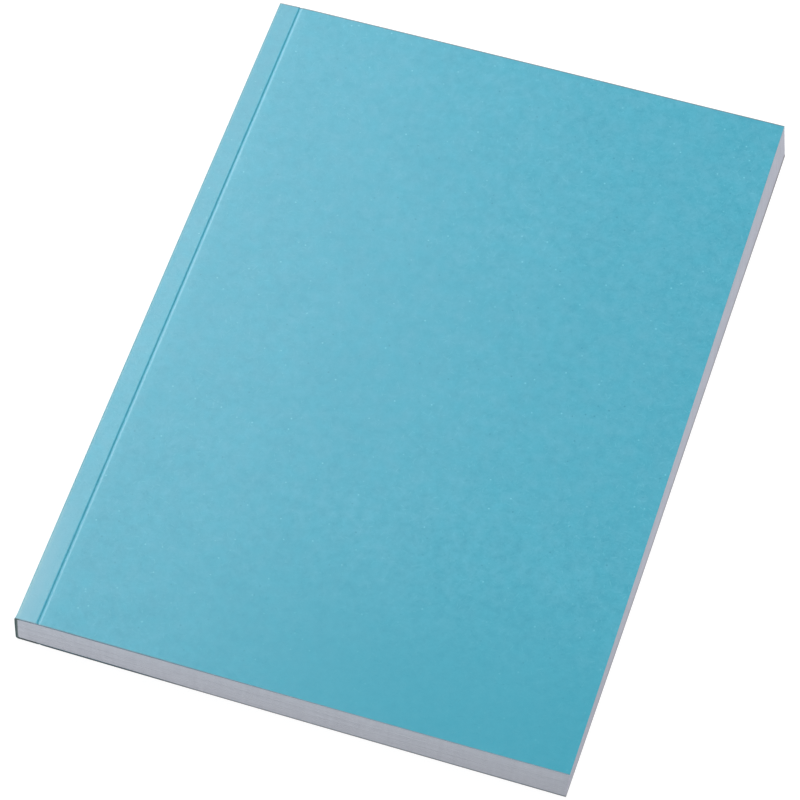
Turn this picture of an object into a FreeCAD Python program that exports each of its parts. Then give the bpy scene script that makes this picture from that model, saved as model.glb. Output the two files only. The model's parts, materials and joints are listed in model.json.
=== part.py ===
import FreeCAD, Part
import Sketcher
import os
import sys

# A5 softcover notebook, perfect bound and trimmed flush on three sides.
#
# Row frame: origin under the middle of the closed book, on the surface it lies on.
#   +X from the spine to the fore edge, +Y from the tail to the head, +Z up through the pages.
# Every profile is drawn on the XZ plane with x = 0 at the outer face of the spine, and padded
# both ways along Y by half the height.  Each body's Placement then brings the spine to
# x = -page_width / 2.
#
# The cover is one sheet of thick dyed card, folded round the spine and scored twice, once on
# each side, where it hinges.  It is split at those two scores, because each cover swings there:
#   cover_spine   the spine panel with the two strips that are glued to the first and last leaf
#   front_cover   the upper panel, hinged on the upper score
#   back_cover    the lower panel, hinged on the lower score
#   binding_glue  the hot-melt adhesive: a layer on the backs of the leaves and a thin film
#                 under each strip
#   text_block    all the leaves, as one solid
#
# The binding is nipped, so the block is thinner at the spine than at the score, and the loose
# leaves stand a little fuller towards the fore edge.  Both hinge axes run along Y in the outer
# face of the card, midway across a score, so a cover can turn right over towards its strip
# without meeting it.

DIMS = [
    # alias, value in mm, meaning
    ("page_width", 148.0, "A5 width, spine to fore edge, cover included"),
    ("page_height", 210.0, "A5 height, tail to head"),
    ("thick_score", 10.6, "thickness of the closed book at the scores"),
    ("thick_fore", 11.4, "thickness at the fore edge, where the leaves stand fuller"),
    ("nip_drop", 0.48, "how far the upper strip falls from the score to the spine"),
    ("score_x", 6.25, "distance of both scores from the outer face of the spine"),
    ("card", 0.4, "cover card, about 300 g per square metre"),
    ("score_width", 0.5, "width of the scored groove at the card's outer face"),
    ("score_depth", 0.16, "depth of the groove's sloped walls"),
    ("score_gap", 0.06, "slit left between strip and panel at the bottom of the groove"),
    ("bend_outer", 0.65, "outer radius where the card turns round the spine"),
    ("bend_inner", 0.25, "inner radius of the same bend"),
    ("glue_back", 0.25, "adhesive between the backs of the leaves and the spine panel"),
    ("glue_side", 0.1, "adhesive film under each strip, and the air under each panel"),
    ("glue_reach", 4.6, "how far the film runs in from the backs of the leaves"),
    ("glue_round", 0.3, "outer corner of the adhesive inside the card's bend"),
]

os.makedirs("parts", exist_ok=True)
doc = FreeCAD.newDocument("notebook")

sheet = doc.addObject("Spreadsheet::Sheet", "dims")
sheet.Label = "dims"
for row, (alias, value, meaning) in enumerate(DIMS, start=1):
    sheet.set("A%d" % row, alias)
    sheet.set("B%d" % row, repr(value))
    sheet.set("C%d" % row, meaning)
    sheet.setAlias("B%d" % row, alias)
doc.recompute()


class Len:
    """A length that knows both its spreadsheet expression and its present value, so a sketch
    can be drawn in place and bound to the sheet from one formula."""

    def __init__(self, text, value):
        self.text, self.value = text, value

    def join(self, sign, other, value):
        other = other if isinstance(other, Len) else Len(repr(other), other)
        return Len("(%s %s %s)" % (self.text, sign, other.text), value(self.value, other.value))

    def __add__(self, other):
        return self.join("+", other, lambda a, b: a + b)

    def __sub__(self, other):
        return self.join("-", other, lambda a, b: a - b)

    def __mul__(self, other):
        return self.join("*", other, lambda a, b: a * b)

    def __truediv__(self, other):
        return self.join("/", other, lambda a, b: a / b)


def cell(alias):
    return Len("<<dims>>.%s" % alias, float(sheet.get(alias)))


ZERO = Len("0", 0.0)
WIDTH, CARD, SCORE, FILM = cell("page_width"), cell("card"), cell("score_x"), cell("glue_side")
DEEP, THICK = cell("score_depth"), cell("thick_score")

BACK = CARD + cell("glue_back")            # the plane of the backs of the leaves
REACH = BACK + cell("glue_reach")          # where the side films end
STRIP_IN = SCORE - cell("score_gap") / 2   # a strip's end, at the slit
STRIP_OUT = SCORE - cell("score_width") / 2    # and at the outer face
PANEL_IN = SCORE + cell("score_gap") / 2   # a panel's end, at the slit
PANEL_OUT = SCORE + cell("score_width") / 2    # and at the outer face


def strip(x):
    """Height of the upper strip's outer face, at x from the spine."""
    return THICK - cell("nip_drop") * (SCORE - x) / SCORE


def panel(x):
    """Height of the front panel's outer face, at x from the spine."""
    return THICK + (cell("thick_fore") - THICK) * (x - SCORE) / (WIDTH - SCORE)


def origin_plane(body, role):
    for feature in body.Origin.OriginFeatures:
        if getattr(feature, "Role", "") == role:
            return feature
    raise RuntimeError("no origin plane " + role)


def padded(name, corners):
    """A body padded both ways along Y from a closed outline of (x, z) lengths."""
    body = doc.addObject("PartDesign::Body", name)
    body.Label = name
    body.setExpression("Placement.Base.x", "-<<dims>>.page_width / 2")

    sketch = body.newObject("Sketcher::SketchObject", name + "_section")
    sketch.AttachmentSupport = [(origin_plane(body, "XZ_Plane"), "")]
    sketch.MapMode = "FlatFace"
    points = [FreeCAD.Vector(x.value, z.value, 0) for x, z in corners]
    n = len(points)
    for i in range(n):
        sketch.addGeometry(Part.LineSegment(points[i], points[(i + 1) % n]), False)
    for i in range(n):
        sketch.addConstraint(Sketcher.Constraint("Coincident", i, 2, (i + 1) % n, 1))
    for i, corner in enumerate(corners):
        for kind, axis, line, length in (("DistanceX", "x", -2, corner[0]),
                                         ("DistanceY", "z", -1, corner[1])):
            if length.text == "0":
                # a corner on an axis of the section is tied to the axis itself
                sketch.addConstraint(Sketcher.Constraint("PointOnObject", i, 1, line))
            else:
                label = "%s%d" % (axis, i)
                k = sketch.addConstraint(
                    Sketcher.Constraint(kind, -1, 1, i, 1, length.value))
                sketch.renameConstraint(k, label)
                sketch.setExpression("Constraints." + label, length.text)

    pad = body.newObject("PartDesign::Pad", name + "_pad")
    pad.Profile = (sketch, [""])
    if "SideType" in pad.PropertiesList:
        pad.SideType = "Symmetric"
    else:
        pad.Midplane = True
    pad.setExpression("Length", "<<dims>>.page_height")
    doc.recompute()
    return body, pad


def rounded(body, base, name, corners, radius):
    """A fillet on the edges that run along Y through the given (x, z) corners."""
    names = []
    for x, z in corners:
        for i, edge in enumerate(base.Shape.Edges, start=1):
            ends = [v.Point for v in (edge.Vertexes[0], edge.Vertexes[-1])]
            if (all(abs(p.x - x.value) < 1e-4 and abs(p.z - z.value) < 1e-4 for p in ends)
                    and abs(ends[0].y - ends[1].y) > 1.0):
                names.append("Edge%d" % i)
                break
        else:
            raise RuntimeError("no edge at %.3f, %.3f" % (x.value, z.value))
    fillet = body.newObject("PartDesign::Fillet", name)
    fillet.Base = (base, names)
    fillet.Radius = cell(radius).value
    fillet.setExpression("Radius", "<<dims>>." + radius)
    doc.recompute()
    body.Tip = fillet
    return fillet


# --- text_block: the leaves, thinner where the binding nips them --------------------------
block_outline = [
    (BACK, CARD + FILM),
    (WIDTH, CARD + FILM),
    (WIDTH, panel(WIDTH) - CARD - FILM),
    (SCORE, strip(SCORE) - CARD - FILM),
    (BACK, strip(BACK) - CARD - FILM),
]
text_block, _ = padded("text_block", block_outline)

# --- cover_spine: the spine panel and both glued strips, bent from one sheet --------------
cover_spine, pad = padded("cover_spine", [
    (STRIP_OUT, strip(STRIP_OUT)),
    (ZERO, strip(ZERO)),
    (ZERO, ZERO),
    (STRIP_OUT, ZERO),
    (STRIP_IN, DEEP),
    (STRIP_IN, CARD),
    (CARD, CARD),
    (CARD, strip(CARD) - CARD),
    (STRIP_IN, strip(STRIP_IN) - CARD),
    (STRIP_IN, strip(STRIP_IN) - DEEP),
])
bends = rounded(cover_spine, pad, "cover_spine_outer_bends",
                [(ZERO, strip(ZERO)), (ZERO, ZERO)], "bend_outer")
rounded(cover_spine, bends, "cover_spine_inner_bends",
        [(CARD, CARD), (CARD, strip(CARD) - CARD)], "bend_inner")

# --- front_cover and back_cover: the two hinged panels ------------------------------------
front_cover, _ = padded("front_cover", [
    (PANEL_OUT, panel(PANEL_OUT)),
    (PANEL_IN, panel(PANEL_IN) - DEEP),
    (PANEL_IN, panel(PANEL_IN) - CARD),
    (WIDTH, panel(WIDTH) - CARD),
    (WIDTH, panel(WIDTH)),
])
back_cover, _ = padded("back_cover", [
    (PANEL_OUT, ZERO),
    (WIDTH, ZERO),
    (WIDTH, CARD),
    (PANEL_IN, CARD),
    (PANEL_IN, DEEP),
])

# --- binding_glue: hot melt on the backs of the leaves and under the strips ---------------
binding_glue, pad = padded("binding_glue", [
    (CARD, CARD),
    (REACH, CARD),
    (REACH, CARD + FILM),
    (BACK, CARD + FILM),
    (BACK, strip(BACK) - CARD - FILM),
    (REACH, strip(REACH) - CARD - FILM),
    (REACH, strip(REACH) - CARD),
    (CARD, strip(CARD) - CARD),
])
rounded(binding_glue, pad, "binding_glue_corners",
        [(CARD, CARD), (CARD, strip(CARD) - CARD)], "glue_round")

doc.recompute()

# --- check everything before any file is written ------------------------------------------
PARTS = [text_block, cover_spine, front_cover, back_cover, binding_glue]
faults = []
for obj in doc.Objects:
    if {"Invalid", "Error"} & set(getattr(obj, "State", [])):
        faults.append("%s is %s" % (obj.Name, obj.State))
    if obj.TypeId == "Sketcher::SketchObject" and obj.solve() != 0:
        faults.append("%s does not solve" % obj.Name)
for obj in PARTS:
    shape = obj.Shape
    if shape.isNull() or not shape.isValid() or len(shape.Solids) != 1:
        faults.append("%s has a bad shape" % obj.Label)


def prism_volume(corners):
    """Volume of an outline padded over the whole height, from its corners."""
    p = [(x.value, z.value) for x, z in corners]
    twice = sum(p[i - 1][0] * p[i][1] - p[i][0] * p[i - 1][1] for i in range(len(p)))
    return abs(twice) / 2 * cell("page_height").value


if not faults and abs(text_block.Shape.Volume - prism_volume(block_outline)) > 1.0:
    faults.append("text_block has the wrong volume, %.1f" % text_block.Shape.Volume)
if faults:
    print("\n".join(faults))
    sys.exit(1)

for obj in PARTS:
    obj.Shape.exportStep("parts/%s.step" % obj.Label)
    box = obj.Shape.BoundBox
    print("%-13s volume %10.2f mm3   x %8.3f %8.3f   y %8.3f %8.3f   z %7.3f %7.3f" % (
        obj.Label, obj.Shape.Volume, box.XMin, box.XMax, box.YMin, box.YMax, box.ZMin, box.ZMax))
print("hinge axes along Y: x %.3f, z %.3f above and z 0 below" % (
    SCORE.value - WIDTH.value / 2, THICK.value))
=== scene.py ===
import json
import math

import bpy
import numpy as np
from mathutils import Matrix, Vector


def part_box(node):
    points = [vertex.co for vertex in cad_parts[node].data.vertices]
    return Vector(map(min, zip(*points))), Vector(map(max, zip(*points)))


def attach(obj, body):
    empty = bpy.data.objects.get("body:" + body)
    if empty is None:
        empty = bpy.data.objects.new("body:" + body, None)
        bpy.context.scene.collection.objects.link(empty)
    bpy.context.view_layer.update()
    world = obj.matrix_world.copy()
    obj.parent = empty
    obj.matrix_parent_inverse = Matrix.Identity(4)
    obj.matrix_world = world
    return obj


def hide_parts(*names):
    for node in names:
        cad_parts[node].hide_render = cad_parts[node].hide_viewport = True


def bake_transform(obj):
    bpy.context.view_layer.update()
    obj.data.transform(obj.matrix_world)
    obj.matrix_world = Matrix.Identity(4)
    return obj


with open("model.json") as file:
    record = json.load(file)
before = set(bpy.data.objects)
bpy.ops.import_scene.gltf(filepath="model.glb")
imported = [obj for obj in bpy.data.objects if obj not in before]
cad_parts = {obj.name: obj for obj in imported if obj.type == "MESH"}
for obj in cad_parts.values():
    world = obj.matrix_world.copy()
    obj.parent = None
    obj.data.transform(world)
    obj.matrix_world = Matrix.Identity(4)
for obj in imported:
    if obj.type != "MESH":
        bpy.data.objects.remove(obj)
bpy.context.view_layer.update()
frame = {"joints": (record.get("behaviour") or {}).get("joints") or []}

# A5 softcover notebook, perfect bound.  Meshes are worked out in millimetres in the row frame
# (+X spine to fore edge, +Y tail to head, +Z up) and stored in metres.
#   spine_card, front_cover_card, back_cover_card   the one sheet of dyed card, parted in the
#                                                   bottom of its two scored grooves
#   leaf_stack                                      the leaves, every leaf's edge in relief
#   hot_melt                                        the adhesive

MM = 0.001


def mm(v):
    return np.array(v) * 1000.0


# ---------------------------------------------------------------- sizes, from the CAD boxes
spine_lo, spine_hi = (mm(v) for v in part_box("cover_spine"))
front_lo, front_hi = (mm(v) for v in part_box("front_cover"))
back_lo, back_hi = (mm(v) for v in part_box("back_cover"))
block_lo, block_hi = (mm(v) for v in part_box("text_block"))
glue_lo, glue_hi = (mm(v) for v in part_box("binding_glue"))
HINGE = {j["name"]: mm(j["pos_m"]) for j in frame["joints"]}
FRONT_HINGE, BACK_HINGE = HINGE["front_cover_hinge"], HINGE["back_cover_hinge"]

X0, X1 = float(spine_lo[0]), float(front_hi[0])      # spine and fore edge
Y0, Y1 = float(spine_lo[1]), float(spine_hi[1])      # tail and head
CARD = float(back_hi[2])                             # card thickness
SEAM = float(FRONT_HINGE[0])                         # where the two grooves run
T_SEAM = float(FRONT_HINGE[2])                       # thickness at the groove
T_FORE = float(front_hi[2])                          # and at the fore edge
W = X1 - X0
SC = SEAM - X0
NIP = 0.27                                           # the top of the spine is that much under the groove's shoulder
BLOCK_X0 = float(block_lo[0])
BLOCK_Z0 = float(block_lo[2])
FILM = BLOCK_Z0 - CARD
EASE = 0.045                                         # softened arris of every cut edge
OFF, DRIFT = 0.095, 0.145                            # the bottom of the upper groove, beside the seam, and how far out of true it runs at each end


def smooth(t):
    t = np.clip(t, 0.0, 1.0)
    return t * t * (3 - 2 * t)


def wander(seed, length, count=4):
    """A smooth random function of one coordinate, about -1 to 1, with waves of that length and longer."""
    r = np.random.default_rng(seed)
    k = 2 * math.pi / (length * r.uniform(1.0, 3.0, count))
    a = r.uniform(0.4, 1.0, count)
    p = r.uniform(0, 2 * math.pi, count)

    def f(s):
        s = np.asarray(s, float)[..., None]
        return (a * np.sin(k * s + p)).sum(-1) / a.sum()

    return f


# ---------------------------------------------------------------- how the book lies
# The top of a soft book sits a little out of square over its bottom: these are the shifts of
# the four top corners, and the fore edge stands fuller at the head than at the tail (SLACK is how
# far its middle lies under the fullest thickness).
TOP_SHIFT = {"A": (0.08, -0.22), "B": (-1.22, 1.17), "C": (0.41, 0.76), "D": (0.30, 0.13)}
TWIST, SLACK = 0.46, 0.19
FOOT_SHIFT = {"C": (0.0, -0.12), "D": (-0.36, 0.0)}  # and of two bottom corners: the foot of the spine leans out at the tail
FULL_X, FULL_Y = (0.03, 0.15), (0.19, 0.14)          # each side is that much fuller in its middle: spine, fore edge; tail, head
FLARE = 0.21                                         # the knife spread the cut end of the spine at the tail, most of all near the top
ripple_x, ripple_y = wander(3, 45.0), wander(4, 60.0)


def settle(p):
    """Carries points (mm, n x 3) from the square book to the book as it lies."""
    p = np.asarray(p, float)
    x, y, z = p[:, 0], p[:, 1], p[:, 2]
    s = z / 10.9
    u, v = (x - X0) / W, (y - Y0) / (Y1 - Y0)
    wa, wb, wc, wd = (1 - u) * v, u * v, u * (1 - v), (1 - u) * (1 - v)
    dx = sum(w * TOP_SHIFT[k][0] for w, k in ((wa, "A"), (wb, "B"), (wc, "C"), (wd, "D")))
    dy = sum(w * TOP_SHIFT[k][1] for w, k in ((wa, "A"), (wb, "B"), (wc, "C"), (wd, "D")))
    foot_x = FOOT_SHIFT["D"][0] * wd ** 2 * np.clip(1 - s, 0, 1)
    foot_y = FOOT_SHIFT["C"][1] * wc ** 2 * np.clip(1 - s, 0, 1)
    d = x - SEAM
    hold = np.where(d < 0, np.clip(-d / SC, 0, 1), smooth(d / 25.0))   # the groove keeps to its line
    lift = (TWIST * (y / Y1) - SLACK) * np.clip(d / (X1 - SEAM), 0, 1.1)
    lift = lift + 0.07 * smooth(d / 60.0) * (ripple_x(x) + ripple_y(y + 0.4 * x))
    full_x = 4 * v * (1 - v) * np.where(u > 0.5, FULL_X[1] * smooth(2 * u - 1), -FULL_X[0] * (1 - 2 * u) * np.clip(-d / SC, 0, 1))
    full_y = np.where(v > 0.5, FULL_Y[1] * (2 * v - 1) * (4 * u * (1 - u) - 0.5), -FULL_Y[0] * (1 - 2 * v) * (4 * u * (1 - u) - 0.2))
    foot_x = foot_x * np.clip(-d / SC, 0, 1)
    # the back cover's fore edge isn't quite straight: it stands out at the head and a little before the tail
    foot_x = foot_x + (0.13 * smooth((v - 0.72) / 0.24) + 0.07 * np.exp(-(((v - 0.30) / 0.13) ** 2))) * np.clip(1 - s, 0, 1) ** 2 * smooth(d / 60.0)
    foot_x = foot_x - FLARE * smooth((Y0 + 1.1 - y) / 1.1) * np.clip(z / 8.5, 0, 1) ** 1.3 * smooth((X0 + 0.66 - x) / 0.24)
    return np.stack([x + s * dx * hold + foot_x + full_x, y + s * dy + foot_y + full_y, z + s * lift], 1)


def groove_at(y):
    """Where the bottom of the upper groove runs, measured from the spine."""
    return SC + OFF - DRIFT * (np.asarray(y, float) / Y1)


# slope of the pressed card across a groove, in degrees, from its bottom: it falls steeply on the
# spine's side and rises in a long curve on the cover's
PRESS = ((-0.56, 0), (-0.46, -6), (-0.35, -31), (-0.13, -34), (0.0, 3), (0.07, 17), (0.24, 17), (0.42, 13), (0.60, 8), (0.74, 3), (0.90, 0.9), (2.6, 0.5), (3.4, 0))
press_t = np.linspace(PRESS[0][0], PRESS[-1][0], 1200)
press_m = np.tan(np.radians(np.interp(press_t, [p[0] for p in PRESS], [p[1] for p in PRESS])))
press_m[press_m > 0] *= -press_m[press_m < 0].sum() / press_m[press_m > 0].sum()
press_z = np.concatenate([[0], np.cumsum((press_m[1:] + press_m[:-1]) / 2)]) * (press_t[1] - press_t[0])
press_z -= np.linspace(0, press_z[-1], len(press_z))


def dip(t):
    """How far the pressed groove lies under the card's face, t from its bottom."""
    return -np.interp(np.asarray(t, float), press_t, press_z, left=0.0, right=0.0)


def under(t):
    """How far the same groove stands out of the card's inner face."""
    return 0.06 * np.exp(-((np.asarray(t, float) / 0.40) ** 2))


def strip_z(x):
    return T_SEAM - NIP * (SC - x) / SC


def panel_z(x):
    return T_SEAM + (T_FORE - T_SEAM) * (x - SC) / (W - SC)


# ---------------------------------------------------------------- mesh making
def spaced(a, b, first, growth, largest):
    """Points from a to b whose spacing starts at first and grows."""
    out, step, sign = [a], first, 1 if b > a else -1
    while abs(b - out[-1]) > step * 1.5:
        out.append(out[-1] + sign * step)
        step = min(step * growth, largest)
    out.append(b)
    return out


def along(step=5.0):
    """Stations along Y, each one (y, share of the ease): the ends are eased."""
    n = round((Y1 - Y0) / step)
    ys = list(np.linspace(Y0 + EASE, Y1 - EASE, n + 1))
    near = [Y0 + EASE + 0.6, Y0 + EASE + 2.0]
    ys = sorted(ys + near + [-v for v in near])
    return [(Y0, 1.0)] + [(y, 0.0) for y in ys] + [(Y1, 1.0)]


def make_object(name, verts_mm, faces, rest_mm=None, uv=None, materials=(), face_material=None):
    """A mesh object at the origin.  rest_mm is kept as an attribute, so that the surface's pattern stays with the card as it bends."""
    mesh = bpy.data.meshes.new(name)
    mesh.from_pydata((np.asarray(verts_mm) * MM).tolist(), [], [tuple(int(i) for i in f) for f in faces])
    rest = mesh.attributes.new("rest", "FLOAT_VECTOR", "POINT")
    rest.data.foreach_set("vector", np.asarray(rest_mm if rest_mm is not None else verts_mm, np.float32).ravel())
    for m in materials:
        mesh.materials.append(m)
    if face_material is not None:
        mesh.polygons.foreach_set("material_index", np.asarray(face_material, np.int32))
    if uv is not None:
        layer = mesh.uv_layers.new(name="OFBake")
        layer.uv.foreach_set("vector", np.asarray(uv, np.float32).ravel())
    mesh.polygons.foreach_set("use_smooth", [True] * len(mesh.polygons))
    mesh.update()
    mesh.validate()
    mesh.set_sharp_from_angle(angle=math.radians(38))
    obj = bpy.data.objects.new(name, mesh)
    bpy.context.scene.collection.objects.link(obj)
    return obj


def card_piece(section, free_end):
    """A piece of card: section(y, ease) gives the outer and the inner line across it, two equal
    lists of (x from the spine, z); it is carried along Y and closed.  free_end says that the last
    points are a cut edge, whose two arrises are eased; the first points are the seam."""
    stations = along()
    rings, outer_n = [], None
    for y, ease in stations:
        outer, inner = section(y)
        outer, inner = np.array(outer, float), np.array(inner, float)
        outer_n = len(outer)
        if ease:
            gap = inner - outer
            unit = gap / np.linalg.norm(gap, axis=1)[:, None]
            outer, inner = outer + EASE * unit, inner - EASE * unit
        ring = [outer]
        if free_end:
            end = max(outer[-1][0], inner[-1][0])
            back = EASE if ease else 0.0
            a = np.array([end - back, outer[-1][1] + EASE * np.sign(inner[-1][1] - outer[-1][1]) * (0 if ease else 1)])
            b = np.array([end - back, inner[-1][1] + EASE * np.sign(outer[-1][1] - inner[-1][1]) * (0 if ease else 1)])
            ring[0] = outer.copy()
            ring[0][-1, 0] -= EASE + (back if ease else 0)
            inner = inner.copy()
            inner[-1, 0] -= EASE + (back if ease else 0)
            ring += [a[None], b[None]]
        ring.append(inner[::-1])
        rings.append(np.concatenate(ring))
    n = len(rings[0])
    pts = np.array([[x + X0, y, z] for (y, _), ring in zip(stations, rings) for x, z in ring])
    faces, mats = [], []
    cut = {outer_n - 1, outer_n, outer_n + 1} if free_end else set()
    for j in range(len(stations) - 1):
        a, b = j * n, (j + 1) * n
        for i in range(n):
            k = (i + 1) % n
            faces.append((a + i, b + i, b + k, a + k))
            seam_face = i == n - 1 or (not free_end and i == outer_n - 1)
            mats.append(1 if i in cut or seam_face or j in (0, len(stations) - 2) else 0)
    for j, flip in ((0, False), (len(stations) - 1, True)):
        base = j * n
        pairs = [(i, n - 1 - i) for i in range(outer_n)]
        for (o1, i1), (o2, i2) in zip(pairs, pairs[1:]):
            quad = (base + o1, base + o2, base + i2, base + i1)
            faces.append(quad[::-1] if flip else quad)
            mats.append(1)
        if free_end:
            quad = (base + outer_n - 1, base + outer_n, base + outer_n + 1, base + outer_n + 2)
            faces.append(quad[::-1] if flip else quad)
            mats.append(1)
    return pts, faces, mats, n, len(stations)


def outward(points, faces):
    """Faces turned so that the closed mesh's volume is positive."""
    p = np.asarray(points, float)
    vol = 0.0
    for f in faces:
        for i in range(1, len(f) - 1):
            vol += np.dot(p[f[0]], np.cross(p[f[i]], p[f[i + 1]]))
    return faces if vol > 0 else [tuple(reversed(f)) for f in faces]


# ---------------------------------------------------------------- materials
class Nodes:
    """Short names for making shader nodes."""

    def __init__(self, name):
        self.material = bpy.data.materials.new(name)
        self.material.use_nodes = True
        self.tree = self.material.node_tree
        self.tree.nodes.clear()
        self.out = self.tree.nodes.new("ShaderNodeOutputMaterial")
        self.bsdf = self.tree.nodes.new("ShaderNodeBsdfPrincipled")
        self.tree.links.new(self.bsdf.outputs["BSDF"], self.out.inputs["Surface"])

    def link(self, value, socket):
        if hasattr(value, "is_output"):
            self.tree.links.new(value, socket)
        elif value is not None:
            socket.default_value = value

    def rest(self):
        node = self.tree.nodes.new("ShaderNodeAttribute")
        node.attribute_name = "rest"
        node.attribute_type = "GEOMETRY"
        return node.outputs["Vector"]

    def mapped(self, vector, scale=(1, 1, 1), rotation=(0, 0, 0), location=(0, 0, 0)):
        node = self.tree.nodes.new("ShaderNodeMapping")
        self.link(vector, node.inputs["Vector"])
        node.inputs["Scale"].default_value = scale
        node.inputs["Rotation"].default_value = rotation
        node.inputs["Location"].default_value = location
        return node.outputs["Vector"]

    def stretched(self, vector, size, turn, location):
        """The vector turned about Z first and divided by size after, so that a noise on it is drawn out along the turned X."""
        out = self.mapped(vector, size, (0, 0, turn), location)
        out.node.vector_type = "TEXTURE"
        return out

    def noise(self, vector, scale, detail=2.0, roughness=0.5, distortion=0.0):
        node = self.tree.nodes.new("ShaderNodeTexNoise")
        self.link(vector, node.inputs["Vector"])
        node.inputs["Scale"].default_value = scale
        node.inputs["Detail"].default_value = detail
        node.inputs["Roughness"].default_value = roughness
        node.inputs["Distortion"].default_value = distortion
        return node.outputs["Fac"]

    def cells(self, vector, scale, randomness=1.0):
        node = self.tree.nodes.new("ShaderNodeTexVoronoi")
        self.link(vector, node.inputs["Vector"])
        node.inputs["Scale"].default_value = scale
        node.inputs["Randomness"].default_value = randomness
        return node.outputs["Distance"], node.outputs["Color"]

    def math(self, op, a, b=None, c=None, clamp=False):
        node = self.tree.nodes.new("ShaderNodeMath")
        node.operation = op
        node.use_clamp = clamp
        for i, v in enumerate((a, b, c)):
            if v is not None:
                self.link(v, node.inputs[i])
        return node.outputs[0]

    def ranged(self, value, a, b, to_a, to_b):
        node = self.tree.nodes.new("ShaderNodeMapRange")
        node.clamp = True
        for name, v in (("Value", value), ("From Min", a), ("From Max", b), ("To Min", to_a), ("To Max", to_b)):
            self.link(v, node.inputs[name])
        return node.outputs["Result"]

    def eased(self, value, a, b, to_a, to_b):
        out = self.ranged(value, a, b, to_a, to_b)
        out.node.interpolation_type = "SMOOTHSTEP"
        return out

    def mix(self, factor, a, b, kind="MIX"):
        node = self.tree.nodes.new("ShaderNodeMix")
        node.data_type = "RGBA"
        node.blend_type = kind
        self.link(factor, node.inputs["Factor"])
        self.link(a, [s for s in node.inputs if s.name == "A" and s.type == "RGBA"][0])
        self.link(b, [s for s in node.inputs if s.name == "B" and s.type == "RGBA"][0])
        return [s for s in node.outputs if s.type == "RGBA"][0]

    def split(self, vector):
        node = self.tree.nodes.new("ShaderNodeSeparateXYZ")
        self.link(vector, node.inputs[0])
        return node.outputs

    def join(self, x, y, z):
        node = self.tree.nodes.new("ShaderNodeCombineXYZ")
        for s, v in zip(node.inputs, (x, y, z)):
            self.link(v, s)
        return node.outputs[0]

    def bump(self, height, distance, strength=1.0, normal=None):
        node = self.tree.nodes.new("ShaderNodeBump")
        node.inputs["Strength"].default_value = strength
        node.inputs["Distance"].default_value = distance
        self.link(height, node.inputs["Height"])
        if normal is not None:
            self.link(normal, node.inputs["Normal"])
        return node.outputs["Normal"]

    def set(self, **values):
        for k, v in values.items():
            self.link(v, self.bsdf.inputs[k.replace("_", " ")])
        return self.material


def rgb(r, g, b):
    return (r, g, b, 1.0)


def fibres(n, at, width, length, seed):
    """Thin pressed fibres lying every way in the sheet: the same stretched noise at five angles."""
    total = None
    for i, turn in enumerate((0.2, 0.83, 1.46, 2.09, 2.72)):
        v = n.stretched(at, (length, width, width), turn, (seed + 7.3 * i, 3.1 * i, 0))
        f = n.noise(v, 1.0, 1.0, 0.4)
        total = f if total is None else n.math("ADD", total, f)
    return n.math("MULTIPLY", total, 0.2)


def strands(n, at, width, length, seed, low, high):
    """Single fibres, well apart and lying every way: where a drawn-out noise peaks, at four angles."""
    total = None
    for i, turn in enumerate((0.35, 1.15, 1.95, 2.75)):
        v = n.stretched(at, (length, width, width), turn + 0.1 * (seed % 5), (seed + 5.7 * i, 9.1 * i, 0))
        f = n.ranged(n.noise(v, 1.0, 0.0, 0.5, 0.25), low, high, 0.0, 1.0)
        total = f if total is None else n.math("MAXIMUM", total, f)
    return total


def flecks(n, at, spacing, inner, outer, share):
    """Specks of one size in some of the cells of a loose net, spacing mm apart: 1 inside a speck, 0 outside."""
    away, tint = n.cells(at, 1.0 / spacing)
    chosen = n.ranged(n.split(tint)[0], share, share + 0.02, 1.0, 0.0)
    return n.math("MULTIPLY", n.ranged(away, inner / spacing, outer / spacing, 1.0, 0.0), chosen)


def curls(n, at):
    """Short curled fibres lying in the face: pieces of the level lines of a smooth noise."""
    total = None
    for i, (size, where) in enumerate(((0.50, (9, 2, 4)), (0.62, (1, 17, 8)), (0.44, (23, 6, 1)))):
        level = n.noise(n.mapped(at, location=where), size, 1.0, 0.4, 0.8)
        line = n.eased(n.math("ABSOLUTE", n.math("SUBTRACT", level, 0.5)), 0.0, 0.045, 1.0, 0.0)
        part = n.eased(n.noise(n.mapped(at, location=where[::-1]), 0.55, 1.0, 0.5), 0.52, 0.64, 0.0, 1.0)
        line = n.math("MULTIPLY", line, part)
        total = line if total is None else n.math("ADD", total, line)
    return total


CARD_COLOUR = (0.0315, 0.340, 0.466)


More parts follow.
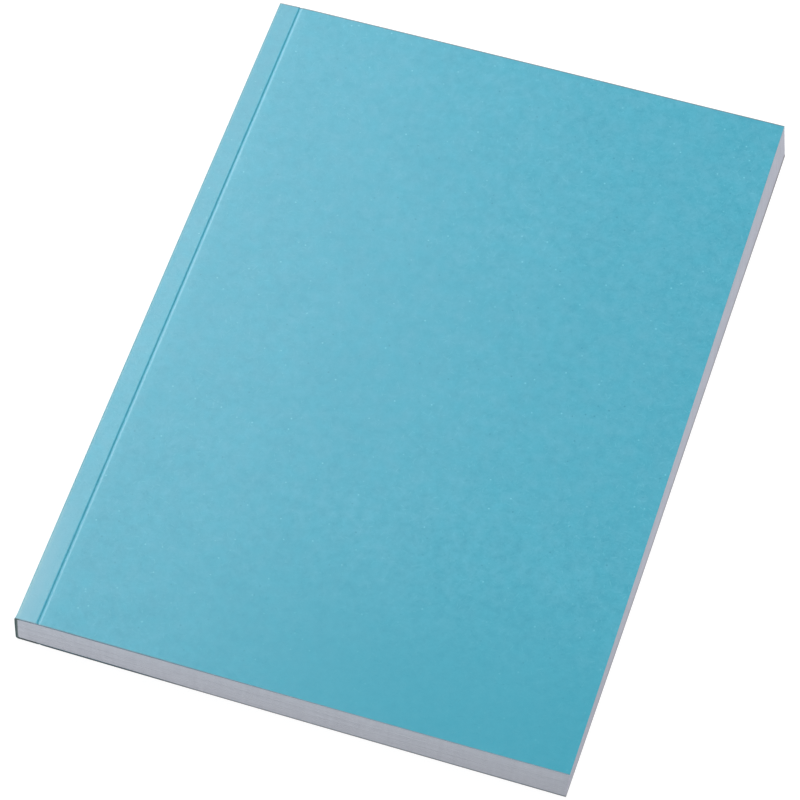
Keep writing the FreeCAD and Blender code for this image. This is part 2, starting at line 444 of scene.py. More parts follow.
def card_face():
    """Matte uncoated card, dyed through: cloudy formation, pressed fibres, and a few light and dark fibres.
    It is painted paler along the groove's cover-side shoulder, along the spine's fold and on the spine strip towards
    the tail: painted highlight. It is painted darker on the groove's spine-side wall, on the strip towards the head,
    towards the fore corner at the tail and in a rim along the cut edges: painted shade."""
    n = Nodes("dyed_card")
    at = n.rest()
    cloud = n.noise(n.mapped(at, scale=(1, 1, 0.2)), 0.07, 3.0, 0.55, 0.3)
    patch = n.noise(n.mapped(at, location=(31, 5, 0)), 0.36, 2.0, 0.55, 0.4)
    grain = n.noise(n.mapped(at, location=(3, 15, 0)), 1.5, 3.0, 0.6)
    fibre = fibres(n, at, 0.24, 1.9, 11)
    curl = curls(n, at)
    tone = n.math("ADD", n.math("MULTIPLY_ADD", cloud, 0.23, n.math("MULTIPLY", patch, 0.55)),
                  n.math("MULTIPLY_ADD", grain, 0.21, n.math("MULTIPLY", fibre, 0.50)))
    tone = n.math("MULTIPLY_ADD", curl, -0.08, tone)
    x, y, z = n.split(at)
    # the formation is a little stronger towards the tail, and calmer in the middle
    strong = n.eased(y, Y0 + 90.0, Y0 + 20.0, 0.92, 1.12)
    calm = n.math("MULTIPLY", n.eased(y, Y0 + 58.0, Y0 + 84.0, 0.0, 1.0), n.eased(y, Y0 + 156.0, Y0 + 130.0, 0.0, 1.0))
    calm = n.math("MULTIPLY", calm, n.eased(x, X0 + 40.0, X0 + 70.0, 0.0, -0.20))
    strong = n.math("MULTIPLY_ADD", strong, calm, strong)
    tone = n.math("MULTIPLY_ADD", n.math("SUBTRACT", tone, 0.735), strong, 0.92)
    light = n.ranged(tone, 0.685, 1.155, 0.0, 1.0)
    r, g, b = CARD_COLOUR
    colour = n.mix(light, rgb(r * 0.28, g * 0.87, b * 0.89), rgb(r * 1.72, g * 1.13, b * 1.11))
    # the dye's red share wanders a little on its own; its lower red towards the fore corner at the tail is painted
    # shade
    tint = n.ranged(n.noise(n.mapped(at, location=(7, 44, 0)), 0.19, 2.0, 0.5), 0.34, 0.66, 0.80, 1.20)
    corner = n.math("MULTIPLY", n.eased(y, Y0 + 112.0, Y0 + 62.0, 0.0, 1.0), n.eased(x, X0 + 84.0, X0 + 108.0, 0.0, 1.0))
    tint = n.math("MULTIPLY_ADD", n.math("MULTIPLY", tint, corner), -0.10, tint)
    colour = n.mix(1.0, colour, n.join(tint, 1.0, 1.0), "MULTIPLY")
    # single fibres that took less dye, and others that took more
    pale = n.math("MAXIMUM", n.math("MULTIPLY", strands(n, at, 0.34, 1.7, 21, 0.76, 0.86), 0.20),
                  n.math("MULTIPLY", flecks(n, n.mapped(at, location=(2, 8, 0)), 2.4, 0.12, 0.32, 0.22), 0.62))
    colour = n.mix(pale, colour, rgb(0.170, 0.60, 0.70))
    dark = n.math("MAXIMUM", n.math("MULTIPLY", strands(n, at, 0.32, 1.3, 33, 0.76, 0.86), 0.22),
                  n.math("MULTIPLY", flecks(n, n.mapped(at, location=(12, 1, 4)), 3.1, 0.10, 0.34, 0.28), 0.95))
    colour = n.mix(dark, colour, rgb(0.001, 0.242, 0.350))
    # across the groove: t is the distance from its bottom
    t = n.math("SUBTRACT", n.math("MULTIPLY_ADD", y, DRIFT / Y1, x), X0 + SC + OFF)
    # painted highlight along the groove's cover-side shoulder; the same band is burnished a little glossier in the
    # roughness below
    crest_burnish_and_highlight = n.math("MULTIPLY", n.eased(t, 0.02, 0.27, 0.0, 1.0), n.eased(t, 0.46, 0.80, 1.0, 0.0))
    crest_burnish_and_highlight = n.math("MULTIPLY", crest_burnish_and_highlight, n.ranged(grain, 0.30, 0.60, 0.72, 1.0))
    colour = n.mix(n.math("MULTIPLY", crest_burnish_and_highlight, 0.72), colour, rgb(0.120, 0.470, 0.620))
    # painted shade on the groove's spine-side wall
    groove_wall_shade = n.math("MULTIPLY", n.eased(t, -0.42, -0.20, 0.0, 1.0), n.eased(t, -0.10, 0.05, 1.0, 0.0))
    colour = n.mix(n.math("MULTIPLY", groove_wall_shade, 0.17), colour, rgb(0.02, 0.22, 0.31))
    # painted highlight on the spine strip towards the tail, and painted shade on it towards the head
    tail = n.eased(y, Y0 + 52.0, Y0 + 6.0, 0.0, 1.0)
    # painted highlight: the strip paler towards the tail
    strip_tail_highlight = n.math("MULTIPLY", tail, n.math("MULTIPLY", n.eased(t, -0.9, -0.4, 1.0, 0.0), n.eased(z, 9.7, 10.2, 0.0, 1.0)))
    colour = n.mix(n.math("MULTIPLY", strip_tail_highlight, n.eased(x, X0 + 2.2, X0 + 4.8, 0.95, 0.62)), colour, rgb(0.130, 0.392, 0.505))
    # painted shade: the strip darker towards the head
    strip_head_shade = n.math("MULTIPLY", n.eased(y, Y0 + 85.0, Y1 - 12.0, 0.0, 1.0), n.eased(t, -0.9, -0.4, 1.0, 0.0))
    colour = n.mix(n.math("MULTIPLY", strip_head_shade, 0.30), colour, rgb(0.030, 0.270, 0.380))
    # painted highlight along the fold of the spine, wider and paler at the tail
    fold_highlight_band = n.math("MULTIPLY", n.eased(z, 9.2, 9.9, 0.0, 1.0), n.ranged(grain, 0.30, 0.60, 0.55, 1.0))
    fold_highlight = n.math("MULTIPLY", fold_highlight_band, n.eased(x, X0 + 0.15, X0 + 0.95, 0.75, 0.0))
    colour = n.mix(fold_highlight, colour, rgb(0.105, 0.325, 0.385))
    fold_highlight = n.math("MULTIPLY", n.math("MULTIPLY", fold_highlight_band, tail), n.eased(x, X0 + 0.3, X0 + 1.7, 0.85, 0.0))
    colour = n.mix(fold_highlight, colour, rgb(0.185, 0.420, 0.490))
    # painted shade, deepening towards the fore corner at the tail
    deep = n.math("MULTIPLY", n.eased(y, Y0 + 62.0, Y0 + 8.0, 0.0, 1.0), n.eased(x, X0 + 14.0, X0 + 92.0, 0.15, 1.0))
    colour = n.mix(n.math("MULTIPLY", deep, 0.75), colour, rgb(0.008, 0.312, 0.430))
    # a dark rim painted along the head and tail edges and under the back cover's fore edge: painted shade; the front
    # cover's fore edge has none
    under_side = n.eased(z, 4.0, 6.0, 1.0, 0.0)
    head = n.eased(y, Y1 - 0.42, Y1 - 0.24, 0.0, 1.0)
    near = n.eased(x, X0 + 34.0, X0 + 62.0, 0.60, 0.10)
    tail_edge_shade = n.math("MULTIPLY", n.eased(y, Y0 + 0.14, Y0 + 0.32, 1.0, 0.0), n.math("MULTIPLY_ADD", under_side, 0.3, near))
    side = n.math("MULTIPLY", n.eased(x, X1 - 0.30, X1 - 0.12, 0.0, 1.0), under_side)
    edge_shade = n.math("MAXIMUM", n.math("MULTIPLY", n.math("MAXIMUM", head, tail_edge_shade), n.ranged(grain, 0.3, 0.6, 0.6, 0.95)), side)
    colour = n.mix(edge_shade, colour, rgb(0.105, 0.155, 0.170))
    rough = n.ranged(n.math("ADD", patch, fibre), 0.7, 1.3, 0.38, 0.44)
    rough = n.math("SUBTRACT", rough, n.math("MULTIPLY", crest_burnish_and_highlight, 0.05))
    height = n.math("ADD", n.math("MULTIPLY", fibre, 0.7), n.math("MULTIPLY_ADD", grain, 0.3, n.math("MULTIPLY", curl, 0.25)))
    normal = n.bump(height, 0.00003, 1.0)
    return n.set(Base_Color=colour, Roughness=rough, Normal=normal, IOR=1.5, Specular_IOR_Level=0.62)


def card_edge():
    """The same card where the knife cut it: layers of fibre seen end on, darker, rough."""
    n = Nodes("dyed_card_cut")
    at = n.rest()
    layers = n.noise(n.mapped(at, scale=(0.6, 0.6, 9.0)), 1.0, 3.0, 0.6)
    bits = n.noise(n.mapped(at, location=(4, 4, 4)), 3.2, 2.0, 0.6)
    tone = n.ranged(n.math("ADD", n.math("MULTIPLY", layers, 0.6), n.math("MULTIPLY", bits, 0.4)), 0.32, 0.68, 0.0, 1.0)
    x, y, z = n.split(at)
    # round the spine the cut is darkest; the back cover's cut is painted dark grey, painted shade where it meets the
    # floor, and grows paler, and the front cover's is palest, most of all along the fore edge
    spine = n.mix(tone, rgb(0.030, 0.062, 0.064), rgb(0.062, 0.108, 0.110))
    back = n.mix(tone, rgb(0.050, 0.062, 0.074), rgb(0.105, 0.116, 0.136))
    back = n.mix(n.eased(x, X0 + 24.0, X0 + 54.0, 0.0, 1.0), back, n.mix(tone, rgb(0.218, 0.216, 0.232), rgb(0.305, 0.302, 0.318)))
    back = n.mix(n.eased(x, X0 + 100.0, X1 - 10.0, 0.0, 1.0), back, n.mix(tone, rgb(0.160, 0.160, 0.178), rgb(0.245, 0.244, 0.264)))
    # painted shade on the back cover's fore cut, darker away from the head
    side = n.mix(n.eased(y, Y1 - 46.0, Y1 - 18.0, 0.0, 1.0), n.mix(tone, rgb(0.215, 0.215, 0.235), rgb(0.325, 0.320, 0.345)), n.mix(tone, rgb(0.120, 0.118, 0.128), rgb(0.200, 0.196, 0.210)))
    back = n.mix(n.eased(x, X1 - 0.5, X1 - 0.2, 0.0, 1.0), back, side)
    front = n.mix(tone, rgb(0.120, 0.195, 0.260), rgb(0.205, 0.290, 0.375))
    front = n.mix(n.eased(x, X0 + 30.0, X0 + 90.0, 0.0, 1.0), front, n.mix(tone, rgb(0.215, 0.300, 0.365), rgb(0.305, 0.395, 0.480)))
    colour = n.mix(n.eased(z, 3.0, 9.8, 0.0, 1.0), back, front)
    colour = n.mix(n.eased(x, X0 + 0.7, X0 + 1.9, 1.0, 0.0), colour, spine)
    fore_pale = n.math("MULTIPLY", n.eased(x, X1 - 0.6, X1 - 0.2, 0.0, 1.0), n.eased(z, 4.0, 6.0, 0.0, 1.0))
    colour = n.mix(n.math("MULTIPLY", fore_pale, n.ranged(bits, 0.3, 0.7, 0.75, 0.95)), colour, rgb(0.28, 0.40, 0.46))
    normal = n.bump(tone, 0.00003, 1.0)
    return n.set(Base_Color=colour, Roughness=0.85, Normal=normal, IOR=1.45)


# the leaves' edges are painted a darker grey-blue than the pages' faces: painted shade
SHADED_EDGE_PAPER = (0.485, 0.516, 0.578)


def page_face():
    """Plain white writing paper: a soft cloud in the sheet and a fine tooth."""
    n = Nodes("page_paper")
    at = n.rest()
    cloud = n.noise(n.mapped(at, scale=(1, 1, 0.2)), 0.16, 4.0, 0.6, 0.2)
    tooth = n.noise(at, 2.6, 2.0, 0.6)
    fibre = fibres(n, at, 0.18, 1.3, 5)
    tone = n.ranged(n.math("ADD", n.math("MULTIPLY", cloud, 0.28), n.math("MULTIPLY_ADD", fibre, 0.47, n.math("MULTIPLY", tooth, 0.25))), 0.38, 0.62, 0.0, 1.0)
    colour = n.mix(tone, rgb(0.785, 0.785, 0.782), rgb(0.825, 0.825, 0.820))
    normal = n.bump(n.math("ADD", tooth, fibre), 0.00002, 1.0)
    return n.set(Base_Color=colour, Roughness=0.82, Normal=normal, IOR=1.45)


def page_edge():
    """The trimmed edges of the leaves: each leaf a little lighter or darker, with the knife's faint drag across them."""
    n = Nodes("page_edges")
    at = n.rest()
    x, y, z = n.split(at)
    run = n.math("ADD", x, y)
    leaf = n.noise(n.join(n.math("MULTIPLY", x, 0.012), n.math("MULTIPLY", y, 0.012), n.math("MULTIPLY", z, 9.0)), 1.0, 2.0, 0.7)
    group = n.noise(n.join(n.math("MULTIPLY", x, 0.02), n.math("MULTIPLY", y, 0.02), n.math("MULTIPLY", z, 1.4)), 1.0, 2.0, 0.5)
    drag = n.noise(n.join(n.math("MULTIPLY", run, 0.8), n.math("MULTIPLY", y, 0.05), n.math("MULTIPLY", z, 0.12)), 1.0, 3.0, 0.6)
    tone = n.math("ADD", n.math("MULTIPLY", leaf, 0.5), n.math("MULTIPLY_ADD", group, 0.15, n.math("MULTIPLY", drag, 0.35)))
    tone = n.ranged(tone, 0.34, 0.66, 0.0, 1.0)
    r, g, b = SHADED_EDGE_PAPER
    colour = n.mix(tone, rgb(r * 0.92, g * 0.92, b * 0.925), rgb(r * 1.08, g * 1.08, b * 1.07))
    # painted shade: both edges are greyer towards the corner where they meet, the tail and head edges lighter upwards,
    # and the fore edge painted a little lavender
    fore = n.eased(x, X1 - 0.5, X1 - 0.1, 0.0, 1.0)
    shade_along_x = n.ranged(x, X0, X1, 1.04, 0.915)
    shade_along_y = n.eased(y, Y0 + 8.0, Y0 + 95.0, 0.905, 1.0)
    shade_up_z = n.ranged(z, 2.0, 8.5, 0.95, 1.03)
    shade_along_x = n.math("MULTIPLY", shade_along_x, shade_up_z)
    colour = n.mix(1.0, colour, n.mix(fore, n.join(n.math("MULTIPLY", shade_along_x, n.ranged(z, 2.0, 8.5, 1.02, 1.0)), shade_along_x, shade_along_x), n.join(shade_along_y, n.math("MULTIPLY", shade_along_y, 0.965), n.math("MULTIPLY", shade_along_y, 0.985))), "MULTIPLY")
    # painted shade on the lowest leaves of the fore edge, by the floor
    low = n.math("MULTIPLY", n.eased(z, 0.5, 1.4, 1.0, 0.0), n.eased(x, X1 - 0.8, X1 - 0.2, 0.0, 1.0))
    colour = n.mix(n.math("MULTIPLY", low, n.ranged(drag, 0.3, 0.7, 0.25, 0.45)), colour, rgb(0.30, 0.295, 0.315))
    normal = n.bump(n.math("ADD", leaf, drag), 0.00002, 1.0)
    return n.set(Base_Color=colour, Roughness=0.9, Normal=normal, IOR=1.4)


def hot_melt():
    """Cooled adhesive, half clear, so it takes the card's colour from beside it; it is painted darker than the card, as
    painted shade in the narrow line between card and leaves.
    """
    n = Nodes("hot_melt")
    at = n.rest()
    flow = n.noise(n.mapped(at, scale=(1, 0.12, 1)), 1.1, 3.0, 0.6, 0.5)
    fine = n.noise(at, 4.0, 2.0, 0.5)
    tone = n.ranged(n.math("ADD", n.math("MULTIPLY", flow, 0.7), n.math("MULTIPLY", fine, 0.3)), 0.35, 0.65, 0.0, 1.0)
    colour = n.mix(tone, rgb(0.034, 0.066, 0.066), rgb(0.070, 0.115, 0.114))
    rough = n.ranged(flow, 0.3, 0.7, 0.42, 0.60)
    normal = n.bump(flow, 0.00004, 1.0)
    return n.set(Base_Color=colour, Roughness=rough, Normal=normal, IOR=1.48)


CARD_MATS = [card_face(), card_edge()]
BLOCK_MATS = [page_face(), page_edge()]
GLUE_MAT = hot_melt()


# ---------------------------------------------------------------- the card, parted in its grooves
FINE = [i * 0.045 for i in range(1, 27)]            # to 1.17 mm from the seam


def panel_xs():
    far = spaced(SC + FINE[-1] + 0.1, W, 0.12, 1.28, 4.0)
    return [SC] + [SC + f for f in FINE] + far


def front_section(y):
    c = float(groove_at(y))
    xs = np.array(panel_xs())
    outer = panel_z(xs) - dip(xs - c)
    inner = panel_z(xs) - CARD - under(xs - c)
    return list(zip(xs, outer)), list(zip(xs, inner))


def back_section(y):
    xs = np.array(panel_xs())
    outer = dip(xs - SC)
    inner = CARD + under(xs - SC) * 0.6 + 0 * xs
    return list(zip(xs, outer)), list(zip(xs, inner))


R_TOP, R_FOOT = 0.48, 0.78                          # outer radii where the card turns the spine
spine_wave, strip_wave = wander(8, 30.0), wander(9, 24.0)


def spine_section(y):
    c = float(groove_at(y))
    xs = np.array([SC] + [SC - f for f in FINE] + spaced(SC - FINE[-1] - 0.1, R_TOP + 0.3, 0.15, 1.3, 0.7))
    top_o = strip_z(xs) - dip(xs - c)
    top_i = strip_z(xs) - CARD - under(xs - c)
    outer, inner = list(zip(xs, top_o)), list(zip(xs, top_i))
    slope = NIP / SC
    tilt = math.atan(slope)
    nx, nz = -math.sin(tilt), math.cos(tilt)
    cx = R_TOP
    px = cx + R_TOP * nx
    cz = float(strip_z(px)) - R_TOP * nz
    for a in np.linspace(math.pi / 2 + tilt, math.pi, 9):
        outer.append((cx + R_TOP * math.cos(a), cz + R_TOP * math.sin(a)))
        ri = max(R_TOP - CARD, 0.05)
        inner.append((cx + ri * math.cos(a), cz + ri * math.sin(a)))
    zs = np.linspace(cz, R_FOOT, 12)[1:-1]
    for z in zs:
        bow = 0.05 * math.sin(math.pi * (z - R_FOOT) / (cz - R_FOOT)) + 0.02 * float(spine_wave(y + 3 * z))
        bow *= smooth((z - R_FOOT) / 1.5) * smooth((cz - z) / 1.5)
        outer.append((-float(bow) * 0.5, z))
        inner.append((CARD, z))
    for a in np.linspace(math.pi, 1.5 * math.pi, 11):
        outer.append((R_FOOT + R_FOOT * math.cos(a), R_FOOT + R_FOOT * math.sin(a)))
        ri = R_FOOT - CARD
        inner.append((R_FOOT + ri * math.cos(a), R_FOOT + ri * math.sin(a)))
    xs = np.array(([SC] + [SC - f for f in FINE] + spaced(SC - FINE[-1] - 0.1, R_FOOT + 0.3, 0.15, 1.3, 0.7))[::-1])
    foot_o = dip(xs - SC)
    foot_i = CARD + under(xs - SC) * 0.6 + 0 * xs
    outer += list(zip(xs, foot_o))
    inner += list(zip(xs, foot_i))
    return outer, inner


def map_card(pts, faces, n, stations):
    """A map for the piece: the sheet laid out flat, its outer face beside its inner face."""
    ring = pts.reshape(stations, n, 3)
    mid = ring[stations // 2]
    length = np.concatenate([[0], np.cumsum(np.linalg.norm(np.diff(mid, axis=0), axis=1))])
    total = length[-1] + np.linalg.norm(mid[0] - mid[-1])
    ys = ring[:, 0, 1]
    cap = 2.0                                        # room, in mm, for the two ends
    uv = []
    high = (Y1 - Y0) + 2 * cap + 2
    for f in faces:
        js, ks = [i // n for i in f], [i % n for i in f]
        if len(set(js)) == 1:                        # an end: laid beside the sheet's own end
            j = js[0]
            for i, k in zip(f, ks):
                o = min(k, n - 1 - k) if k >= n // 2 else k
                inner = k >= n // 2
                u = length[o] if o < len(length) else 0
                v = (0.2 if inner else 1.2) if j == 0 else high - (0.2 if inner else 1.2)
                uv.append((u / total, v / high))
        else:
            wrap = 0 in ks and n - 1 in ks
            for j, k in zip(js, ks):
                u = total if wrap and k == 0 else length[k]
                uv.append((u / total, (ys[j] - Y0 + cap + 1) / high))
    return uv


def build_card(name, section, free_end):
    pts, faces, mats, n, stations = card_piece(section, free_end)
    uv = np.array(map_card(pts, faces, n, stations))
    turned = outward(pts, faces)
    if turned is not faces:
        start, flipped = 0, []
        for f in faces:
            flipped.append(uv[start:start + len(f)][::-1])
            start += len(f)
        uv = np.concatenate(flipped)
    return make_object(name, settle(pts), turned, rest_mm=pts, uv=uv, materials=CARD_MATS, face_material=mats)


front_card = build_card("front_cover_card", front_section, True)
back_card = build_card("back_cover_card", back_section, True)
spine_card = build_card("spine_card", spine_section, False)


# ---------------------------------------------------------------- the leaves
LEAVES = 92


def block_top(x):
    """Top of the block at x (row frame)."""
    d = x - X0
    return np.where(d < SC, strip_z(d) - CARD - FILM, panel_z(d) - CARD - FILM)


def leaf_stack():
    # the leaf edges, as rows up the block: each leaf's edge is a flat band with eased sides, and a notch parts it from the next
    r = np.random.default_rng(41)
    offs = {}
    for side in ("fore", "tail", "head"):
        rough = r.normal(0, 0.007, LEAVES)
        drift = np.convolve(r.normal(0, 0.015, LEAVES + 12), np.ones(7) / 7, "same")[6:-6]
        odd = np.where(r.random(LEAVES) < 0.05, r.uniform(-0.035, 0.012, LEAVES), 0)
        offs[side] = np.clip(rough + drift + odd - 0.01, -0.06, 0.02)
    notch = r.uniform(0.018, 0.05, LEAVES + 1)
    wave = [wander(100 + k, 40.0, 3) for k in range(LEAVES)]
    sway = {s: (wander(300 + i, 55.0), wander(310 + i, 35.0)) for i, s in enumerate(("fore", "tail", "head"))}
    rows = []                                        # (leaf, height share, notch share)
    for k in range(LEAVES):
        if k == 0:
            rows.append((0, 0.0, 0.0))
        rows.append((k, (k + 0.20) / LEAVES, 0.0))
        rows.append((k, (k + 0.80) / LEAVES, 0.0))
        rows.append((k, (k + 1.0) / LEAVES, 1.0 if k < LEAVES - 1 else 0.0))
    rows[-1] = (LEAVES - 1, 1.0, 0.0)
    xs = np.array([BLOCK_X0] + list(np.linspace(BLOCK_X0 + 2, X1 - 1.5, 36)) + [X1])
    ys = np.array([Y0] + list(np.linspace(Y0 + 1.5, Y1 - 1.5, 50)) + [Y1])
    loop = [(x, Y0, "tail") for x in xs] + [(X1, y, "fore") for y in ys[1:-1]]
    loop += [(x, Y1, "head") for x in xs[::-1]] + [(BLOCK_X0, y, "back") for y in ys[-2:0:-1]]
    n = len(loop)
    lx, ly = np.array([p[0] for p in loop]), np.array([p[1] for p in loop])
    verts, rest = [], []
    for ri, (k, h, is_notch) in enumerate(rows):
        deep = notch[min(k + 1, LEAVES)] * is_notch
        if is_notch:
            o = {s: min(offs[s][k], offs[s][k + 1]) - deep for s in offs}
        else:
            o = {s: offs[s][k] for s in offs}
        px, py = lx.copy(), ly.copy()
        fore = lx > X1 - 1e-6
        tail, head = ly < Y0 + 1e-6, ly > Y1 - 1e-6
        # the lowest leaves stand back from the cut, most of all by the spine
        back_off = 0.16 * (1 - 0.75 * smooth((lx - X0 - 24.0) / 30.0)) * (1 - h) ** 6
        live = 0.010 * wave[k](lx + 1.3 * ly) - back_off
        px[fore] += o["fore"] + live[fore]
        py[tail] -= o["tail"] + live[tail]
        py[head] += o["head"] + live[head]
        hz = h
        z = BLOCK_Z0 + (block_top(px) - BLOCK_Z0) * hz
        bend = 4 * h * (1 - h)                       # the leaves' lines waver, but not the block's faces
        z = z + bend * 0.10 * np.where(fore, sway["fore"][0](ly) + 0.5 * sway["fore"][1](ly + 9 * h), np.where(tail, sway["tail"][0](lx), sway["head"][0](lx)))
        verts.append(np.stack([px, py, z], 1))
        rest.append(np.stack([lx, ly, BLOCK_Z0 + (T_SEAM - 2 * BLOCK_Z0) * h + 0 * lx], 1))
    pts, rst = np.concatenate(verts), np.concatenate(rest)
    faces, mats, uv = [], [], []
    R = len(rows)
    # map: both page faces side by side above, the edges as bands below, three times as high as they are
    size = 2 * (W + 3)
    band = 3.2 * (T_SEAM - 2 * BLOCK_Z0)
    arc = np.concatenate([[0], np.cumsum(np.hypot(np.diff(lx), np.diff(ly)))])
    total = arc[-1] + abs(ly[-1] - ly[0])
    start = {"tail": 0.0, "fore": arc[len(xs) - 1], "head": arc[len(xs) + len(ys) - 2], "back": arc[2 * len(xs) + len(ys) - 3]}
    lane = {"tail": 0, "fore": 1, "head": 2, "back": 3}

    def edge_uv(side, i_next, i, h):
        s = (total if i_next and i == 0 else arc[i]) - start[side]
        return ((1 + s) / size, (1 + lane[side] * (band + 1.5) + band * h) / size)

    for j in range(R - 1):
        a, b = j * n, (j + 1) * n
        for i in range(n):
            k = (i + 1) % n
            if i < len(xs) - 1:
                side = "tail"
            elif i < len(xs) + len(ys) - 2:
                side = "fore"
            elif i < 2 * len(xs) + len(ys) - 3:
                side = "head"
            else:
                side = "back"
            faces.append((a + i, a + k, b + k, b + i))
            mats.append(1)
            h0, h1 = rows[j][1], rows[j + 1][1]
            wrap = k == 0
            uv += [edge_uv(side, False, i, h0), edge_uv(side, wrap, k, h0), edge_uv(side, wrap, k, h1), edge_uv(side, False, i, h1)]
    # the two outermost pages, meshed across on the loop's own points
    pts, rst = list(map(tuple, pts)), list(map(tuple, rst))
    for top in (False, True):
        base = (R - 1) * n if top else 0
        grid = {}
        nx, ny = len(xs), len(ys)
        for i in range(nx):
            grid[i, 0] = base + i
            grid[i, ny - 1] = base + (nx - 1) + (ny - 1) + (nx - 1 - i)
        for j in range(1, ny - 1):
            grid[nx - 1, j] = base + (nx - 1) + j
            grid[0, j] = base + 2 * (nx - 1) + (ny - 1) + (ny - 1 - j)
            for i in range(1, nx - 1):
                x, y = xs[i], ys[j]
                z = float(BLOCK_Z0 + (block_top(x) - BLOCK_Z0) * (1.0 if top else 0.0))
                grid[i, j] = len(pts)
                pts.append((x, y, z))
                rst.append((x, y, BLOCK_Z0 + (T_SEAM - 2 * BLOCK_Z0) * (1.0 if top else 0.0)))
        off = W + 2 if top else 0
        for i in range(nx - 1):
            for j in range(ny - 1):
                q = (grid[i, j], grid[i + 1, j], grid[i + 1, j + 1], grid[i, j + 1])
                q = q if top else q[::-1]
                faces.append(q)
                mats.append(0)
                for v in q:
                    uv.append(((1 + off + rst[v][0] - X0) / size, (size - 1 - (rst[v][1] - Y0)) / size))
    return pts, rst, faces, mats, uv


pts, rst, faces, mats, uv = leaf_stack()
leaf_block = make_object("leaf_stack", settle(np.array(pts)), faces, rest_mm=np.array(rst), uv=uv, materials=BLOCK_MATS, face_material=mats)


# ---------------------------------------------------------------- the adhesive
def glue_mesh():
    gx0 = float(glue_lo[0]) - X0
    gx1 = float(glue_hi[0]) - X0
    bx = BLOCK_X0 - X0
    r_out = 0.3
    stations = [(Y0, 0)] + [(y, 1) for y in np.linspace(Y0 + 0.3, Y1 - 0.3, 43)] + [(Y1, 0)]
    fray = wander(17, 9.0)
    end_in = wander(18, 2.0)
    outer, inner = [], []
    zt = lambda x: float(strip_z(x) - CARD)
    for x in np.linspace(gx1, gx0 + r_out, 9):
        outer.append((x, zt(x)))
        inner.append((max(x, bx), zt(x) - FILM))
    for a in np.linspace(math.pi / 2, math.pi, 7)[1:]:
        outer.append((gx0 + r_out + r_out * math.cos(a), zt(gx0 + r_out) - r_out + r_out * math.sin(a)))
        inner.append((bx, zt(bx) - FILM))
    inner_z = np.linspace(zt(bx) - FILM, BLOCK_Z0, 14)
    outer_z = np.linspace(zt(gx0 + r_out) - r_out, CARD + r_out, 14)
    for zo, zi in list(zip(outer_z, inner_z))[1:-1]:
        outer.append((gx0, zo))
        inner.append((bx, zi))
    for a in np.linspace(math.pi, 1.5 * math.pi, 7)[:-1]:
        outer.append((gx0 + r_out + r_out * math.cos(a), CARD + r_out + r_out * math.sin(a)))
        inner.append((bx, BLOCK_Z0))
    for x in np.linspace(gx0 + r_out, gx1, 9):
        outer.append((x, CARD))
        inner.append((max(x, bx), BLOCK_Z0))
    return outer, inner, stations, fray, end_in


outer, inner, stations, fray, end_in = glue_mesh()
# the inner line is respaced so that no two of its points meet
o = np.array(outer)
i_pts = np.array(inner)
d = np.concatenate([[0], np.cumsum(np.linalg.norm(np.diff(i_pts, axis=0), axis=1))])
keep = np.concatenate([[True], np.diff(d) > 1e-9])
t = np.linspace(0, d[-1], len(o))
i_even = np.stack([np.interp(t, d[keep], i_pts[keep, 0]), np.interp(t, d[keep], i_pts[keep, 1])], 1)
# the two corners of the inner line are kept
for corner in ((BLOCK_X0 - X0, float(strip_z(BLOCK_X0 - X0)) - CARD - FILM), (BLOCK_X0 - X0, BLOCK_Z0)):
    k = int(np.argmin(np.hypot(i_even[:, 0] - corner[0], i_even[:, 1] - corner[1])))
    i_even[k] = corner
ring = np.concatenate([o, i_even[::-1]])
rn = len(ring)
gp, gr = [], []
for y, inside in stations:
    for k, (x, z) in enumerate(ring):
        side_film = k in (0, rn - 1, len(o) - 1, len(o))
        fx = 0.25 * float(fray(y + (50 if z > 5 else 0))) if side_film else 0.0
        yy = y
        if not inside:
            yy = y - math.copysign(0.03 + 0.03 * float(end_in(x * 3 + z)), y)
        gp.append((x + fx + X0, yy, z))
gf = []
for j in range(len(stations) - 1):
    a, b = j * rn, (j + 1) * rn
    for i in range(rn):
        k = (i + 1) % rn
        gf.append((a + i, b + i, b + k, a + k))
for j, flip in ((0, False), (len(stations) - 1, True)):
    for i in range(len(o) - 1):
        q = (j * rn + i, j * rn + i + 1, j * rn + rn - 2 - i, j * rn + rn - 1 - i)
        gf.append(q[::-1] if flip else q)
gp = np.array(gp)
gf = outward(gp, gf)
glue = make_object("hot_melt", settle(gp), gf, rest_mm=gp, materials=[GLUE_MAT])


# ---------------------------------------------------------------- what rides on what
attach(leaf_block, "book_block")
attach(spine_card, "book_block")
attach(glue, "book_block")
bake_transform(front_card)
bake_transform(back_card)
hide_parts("text_block")
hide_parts("cover_spine")
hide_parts("binding_glue")
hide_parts("front_cover")
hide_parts("back_cover")


# ---------------------------------------------------------------- floor, light, camera
def floor():
    """A white light table: it glows, so the shadows on it stay faint."""
    n = Nodes("floor_paper")
    at = n.tree.nodes.new("ShaderNodeTexCoord").outputs["Object"]
    n.set(Base_Color=n.mix(n.noise(at, 3.0, 3.0), rgb(0.195, 0.195, 0.195), rgb(0.205, 0.205, 0.205)), Roughness=1.0)
    n.bsdf.inputs["Specular IOR Level"].default_value = 0.0
    n.bsdf.inputs["Emission Color"].default_value = (1.0, 1.0, 1.0, 1.0)
    n.bsdf.inputs["Emission Strength"].default_value = 0.89
    mesh = bpy.data.meshes.new("floor")
    s = 14.0
    mesh.from_pydata([(-s, -s, 0), (s, -s, 0), (s, s, 0), (-s, s, 0)], [], [(0, 1, 2, 3)])
    mesh.materials.append(n.material)
    obj = bpy.data.objects.new("floor", mesh)
    bpy.context.scene.collection.objects.link(obj)
    return obj


floor()

scene = bpy.context.scene
scene.view_settings.view_transform = "Standard"
scene.view_settings.look = "None"
scene.view_settings.exposure = 0.0
scene.view_settings.gamma = 1.0


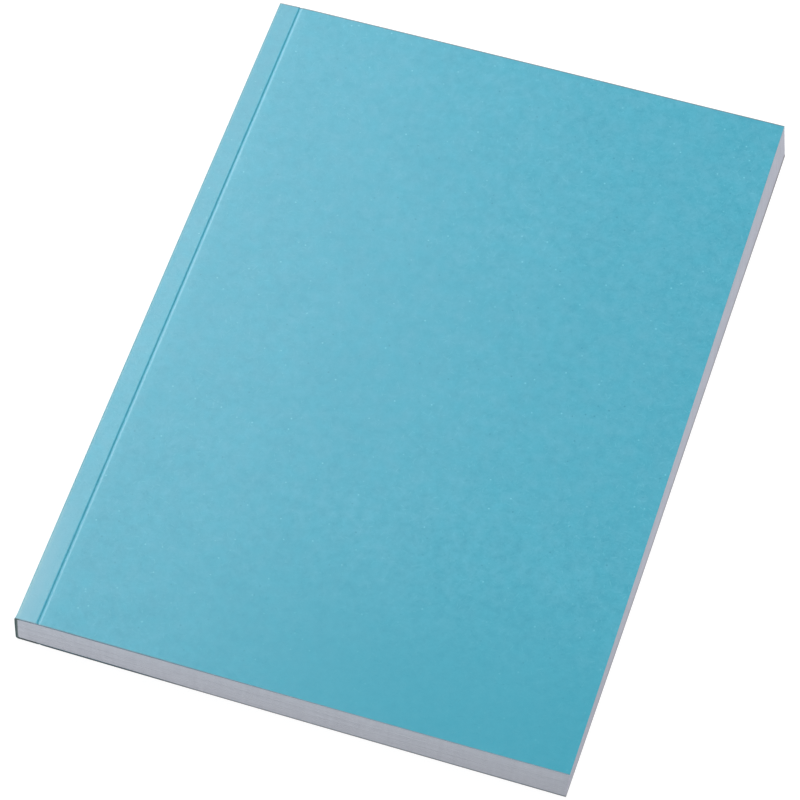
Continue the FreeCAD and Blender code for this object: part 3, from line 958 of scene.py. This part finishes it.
def studio(horizon, above):
    """A plain pale cyclorama: brightest at the horizon, where it meets the floor, and even above."""
    world = bpy.data.worlds.new("studio")
    world.use_nodes = True
    tree = world.node_tree
    tree.nodes.clear()
    out = tree.nodes.new("ShaderNodeOutputWorld")
    bg = tree.nodes.new("ShaderNodeBackground")
    at = tree.nodes.new("ShaderNodeTexCoord")
    parts = tree.nodes.new("ShaderNodeSeparateXYZ")
    fade = tree.nodes.new("ShaderNodeMapRange")
    fade.interpolation_type = "SMOOTHSTEP"
    tree.links.new(at.outputs["Generated"], parts.inputs[0])
    tree.links.new(parts.outputs[2], fade.inputs["Value"])
    for name, v in (("From Min", 0.45), ("From Max", 0.80), ("To Min", horizon), ("To Max", above)):
        fade.inputs[name].default_value = v
    tree.links.new(fade.outputs["Result"], bg.inputs["Strength"])
    bg.inputs["Color"].default_value = (1.0, 1.0, 1.0, 1.0)
    tree.links.new(bg.outputs[0], out.inputs["Surface"])
    bpy.context.scene.world = world


studio(1.0, 0.30)


def area_light(name, where, to, size, watts, colour=(1, 1, 1)):
    light = bpy.data.lights.new(name, "AREA")
    light.shape = "SQUARE"
    light.size = size
    light.energy = watts
    light.color = colour
    obj = bpy.data.objects.new(name, light)
    obj.location = where
    obj.rotation_euler = (Vector(to) - Vector(where)).to_track_quat("-Z", "Y").to_euler()
    bpy.context.scene.collection.objects.link(obj)
    return obj


area_light("key", (-0.742, 0.767, 1.166), (0, 0, 0), 0.75, 15.0)
area_light("fill", (0.9, 0.1, 1.3), (0, 0, 0), 0.8, 3.4)

cam_data = bpy.data.cameras.new("camera")
cam_data.lens = 187.892
cam_data.sensor_width = 36.0
cam_data.clip_start, cam_data.clip_end = 0.05, 60.0
cam = bpy.data.objects.new("camera", cam_data)
right = (0.95078598, 0.30984833, -0.00017616)
up = (-0.26078174, 0.80052932, 0.53957918)
back = (0.16732873, -0.51297838, 0.84193484)
cam.matrix_world = Matrix((
    (right[0], up[0], back[0], 0.18427559),
    (right[1], up[1], back[1], -0.57790726),
    (right[2], up[2], back[2], 0.94043612),
    (0, 0, 0, 1),
))
scene.collection.objects.link(cam)
scene.camera = cam
